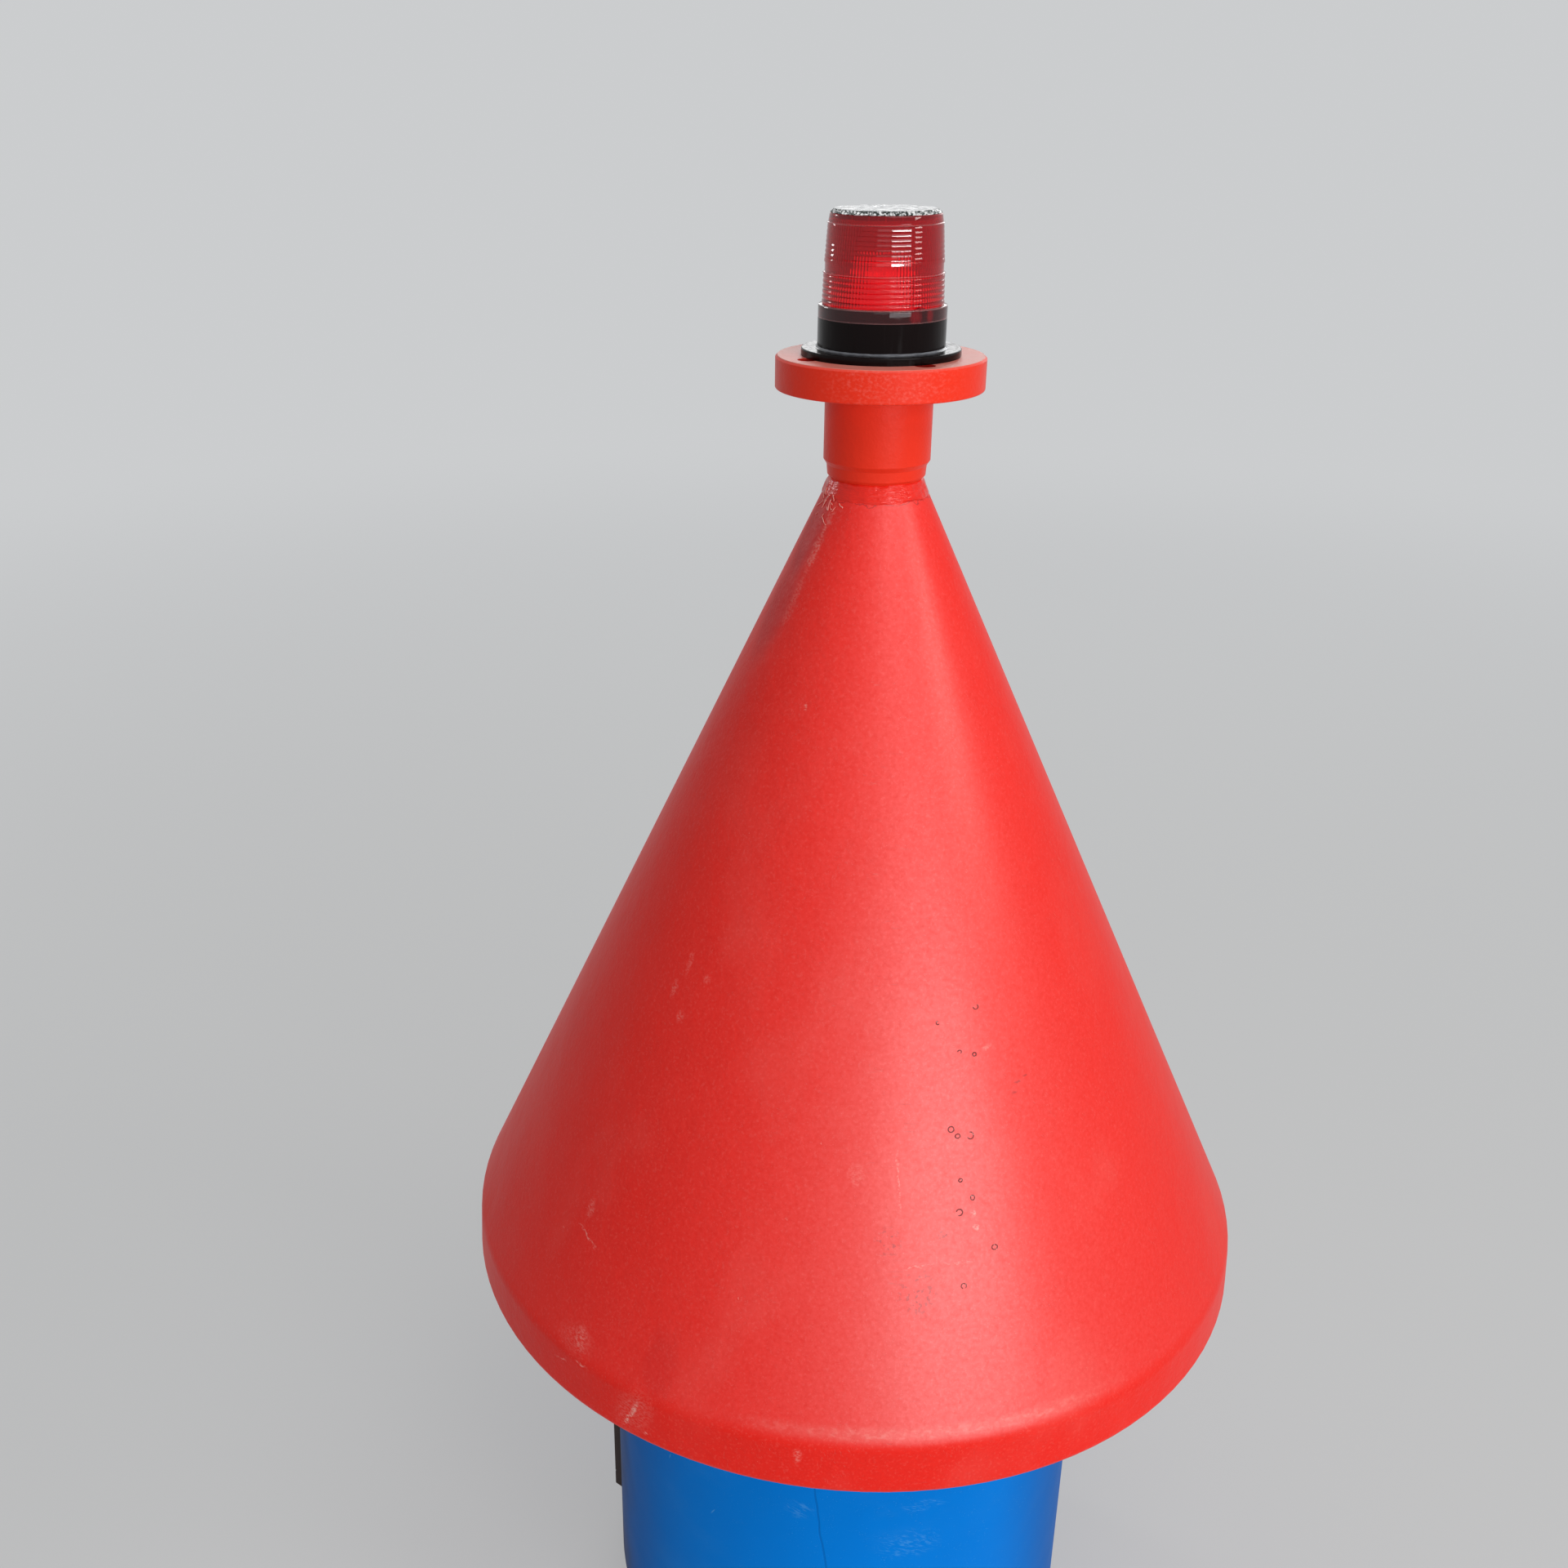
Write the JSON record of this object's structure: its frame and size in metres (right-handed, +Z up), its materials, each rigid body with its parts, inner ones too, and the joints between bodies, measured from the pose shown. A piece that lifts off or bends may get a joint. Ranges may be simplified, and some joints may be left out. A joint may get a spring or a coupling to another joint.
{
  "type": "conical navigation buoy with solar lantern, on a drum stand",
  "caption": "Double-cone plastic navigation buoy with a flanged neck, solar lantern and mooring eye, standing in the mouth of a cut-down plastic drum.",
  "frame": {"origin": "on the floor under the drum, on the buoy's own axis", "axes": "+Z up along the buoy's axis from the drum to the lantern, +X to the viewer's right, -Y towards the viewer"},
  "size_m": [0.7994, 0.7994, 1.5616],
  "materials": {
    "drum_plastic": "satin blue polyethylene, scuffed",
    "hull_plastic": "satin orange-red polyethylene, lightly scuffed",
    "flange_plastic": "machined orange-red polyethylene",
    "weld_plastic": "glossy orange-red weld",
    "galvanized_steel": "galvanized",
    "lantern_black": "glossy black",
    "lens_red": "clear red moulded lens",
    "reflector_white": "glossy white",
    "circuit_board": "satin white",
    "solar_cell": "dark blue cells under resin",
    "clear_cover": "clear"
  },
  "bodies": {
    "root": {"drum": "drum_plastic", "hull": "hull_plastic", "end_plate": "galvanized_steel", "mooring_eye": "galvanized_steel", "weld_bead": "weld_plastic", "neck_flange": "flange_plastic", "lantern_disc": "lantern_black", "lantern_body": "lantern_black", "led_board": "circuit_board", "reflector": "reflector_white", "lens": "lens_red", "solar_panel": "solar_cell", "top_cover": "clear_cover"}
  },
  "joints": []
}
